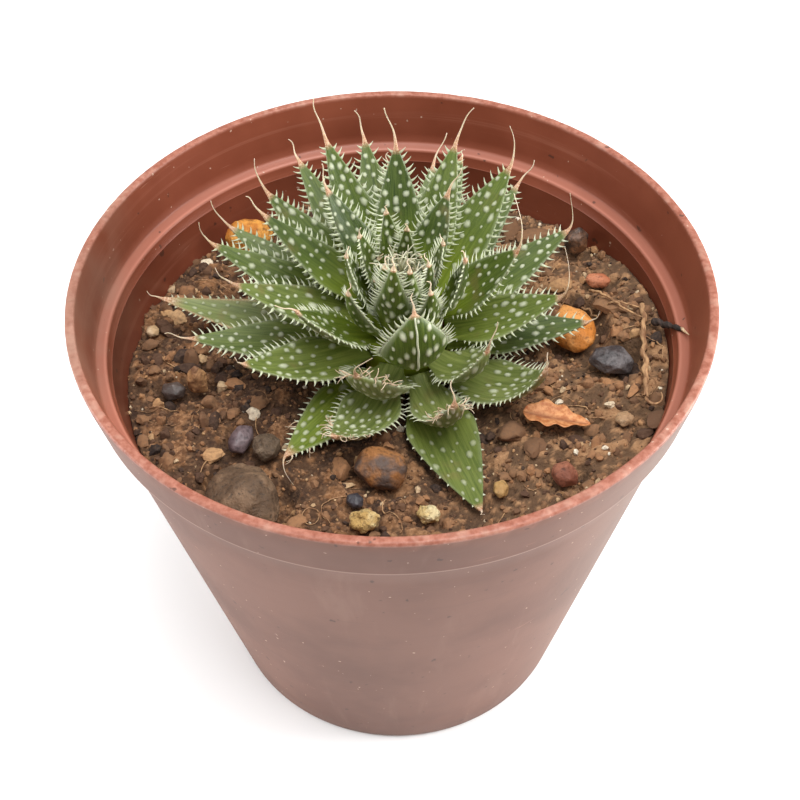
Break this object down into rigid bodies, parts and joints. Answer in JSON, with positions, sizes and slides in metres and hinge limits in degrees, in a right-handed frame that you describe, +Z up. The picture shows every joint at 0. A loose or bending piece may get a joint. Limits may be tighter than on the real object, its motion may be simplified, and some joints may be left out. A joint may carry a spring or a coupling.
{
  "type": "potted lace aloe",
  "caption": "Lace aloe: a low rosette of pointed leaves with white spots, teeth and dry tip threads, in stony soil in a round tapered plastic pot with a collar rim.",
  "frame": {"origin": "centre of the pot's foot, on the surface that it stands on", "axes": "+Z up, -Y towards the viewer of the picture, +X to the viewer's right"},
  "size_m": [0.12, 0.12, 0.1306],
  "materials": {
    "pot_plastic": "matte, worn and faded outside",
    "soil": "matte, crumbly",
    "leaf": "satin",
    "young_leaf": "satin",
    "dry_straw": "matte",
    "dry_leaf": "matte",
    "stone_brown": "matte",
    "stone_orange": "satin",
    "stone_dark": "satin",
    "stone_pale": "matte",
    "stone_yellow": "matte",
    "stone_red": "matte"
  },
  "bodies": {
    "root": {"pot": "pot_plastic", "soil": "soil", "heart": "young_leaf", "leaf_01": "leaf", "leaf_02": "leaf", "leaf_03": "leaf", "leaf_04": "leaf", "leaf_05": "leaf", "leaf_06": "leaf", "leaf_07": "leaf", "leaf_08": "leaf", "leaf_09": "leaf", "leaf_10": "leaf", "leaf_11": "leaf", "leaf_12": "leaf", "leaf_13": "leaf", "leaf_14": "leaf", "leaf_15": "leaf", "leaf_16": "leaf", "leaf_17": "leaf", "leaf_18": "leaf", "leaf_19": "leaf", "leaf_20": "leaf", "leaf_21": "leaf", "leaf_22": "leaf", "leaf_23": "leaf", "leaf_24": "leaf", "leaf_25": "leaf", "leaf_26": "leaf", "leaf_27": "leaf", "leaf_28": "leaf", "leaf_29": "leaf", "leaf_30": "leaf", "leaf_31": "leaf", "leaf_32": "leaf", "leaf_33": "leaf", "leaf_34": "leaf", "straw": "dry_straw", "leaf_scrap": "dry_leaf", "stone_big_brown": "stone_brown", "stone_orange_back": "stone_orange", "stone_orange_right": "stone_orange", "stone_charcoal": "stone_dark", "stone_tan_front": "stone_brown", "pebble_dark_oval": "stone_dark", "pebble_tan_upright": "stone_pale", "pebble_purple": "stone_dark", "stone_grey_rough": "stone_brown", "lump_yellow_left": "stone_yellow", "lump_yellow_right": "stone_yellow", "pebble_brown": "stone_brown", "pebble_yellow": "stone_yellow", "pebble_blue_black": "stone_dark", "stone_dark_back": "stone_dark", "chip_red": "stone_red", "pebble_pale_left": "stone_pale", "pebble_disc": "stone_pale"}
  },
  "joints": []
}
